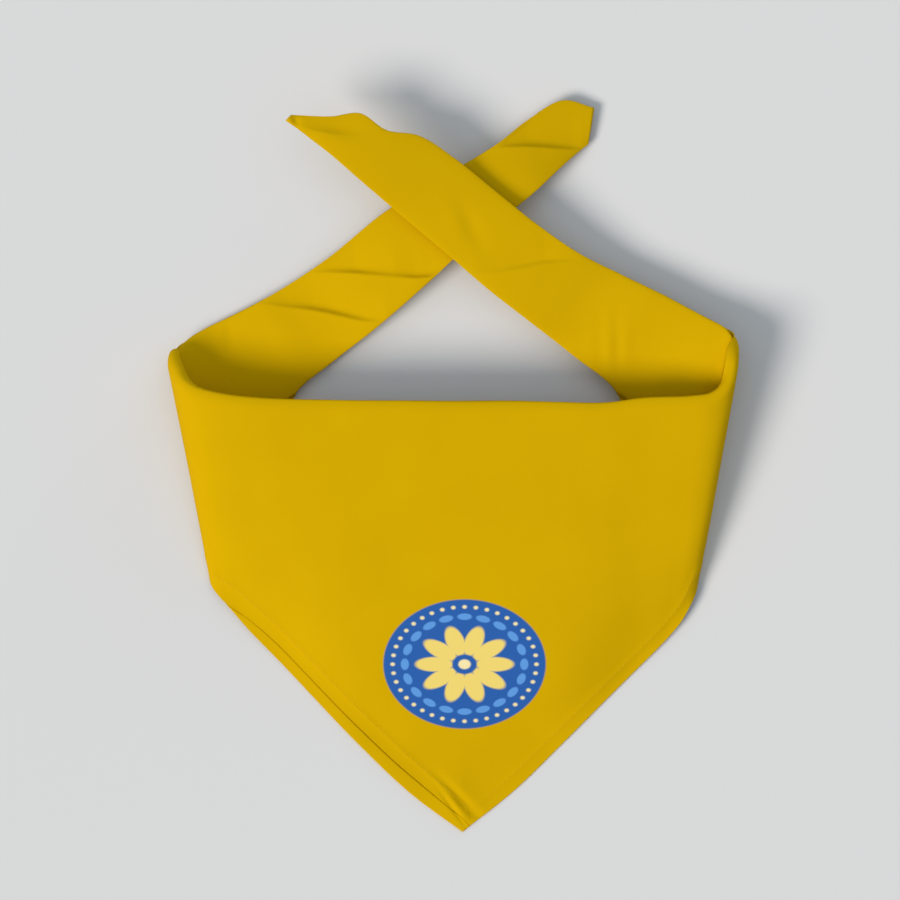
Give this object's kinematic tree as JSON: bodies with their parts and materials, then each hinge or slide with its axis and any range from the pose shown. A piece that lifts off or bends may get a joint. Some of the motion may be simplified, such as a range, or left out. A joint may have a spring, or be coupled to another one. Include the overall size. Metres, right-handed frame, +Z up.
{
  "type": "neckerchief",
  "caption": "Plain cotton neckerchief folded on the diagonal and laid flat, with a rolled neck band whose tails cross behind and a printed oval medallion near the tip.",
  "frame": {"origin": "middle of the base of the neckerchief as it lies on a surface", "axes": "+X to the right and +Y towards the crossed tails, seen from above with the tip of the bib along -Y; +Z up from the surface it lies on"},
  "size_m": [0.272, 0.3502, 0.0376],
  "materials": {
    "outer_cloth": "matt plain-weave cotton, mustard yellow, with a printed blue and cream oval near the tip",
    "inner_cloth": "matt plain-weave cotton, mustard yellow",
    "band_cloth": "matt plain-weave cotton, mustard yellow, rolled into a soft band"
  },
  "bodies": {
    "root": {"front_bib": "outer_cloth", "under_bib": "inner_cloth", "left_band": "band_cloth", "neck_roll": "band_cloth", "right_band": "band_cloth"}
  },
  "joints": []
}
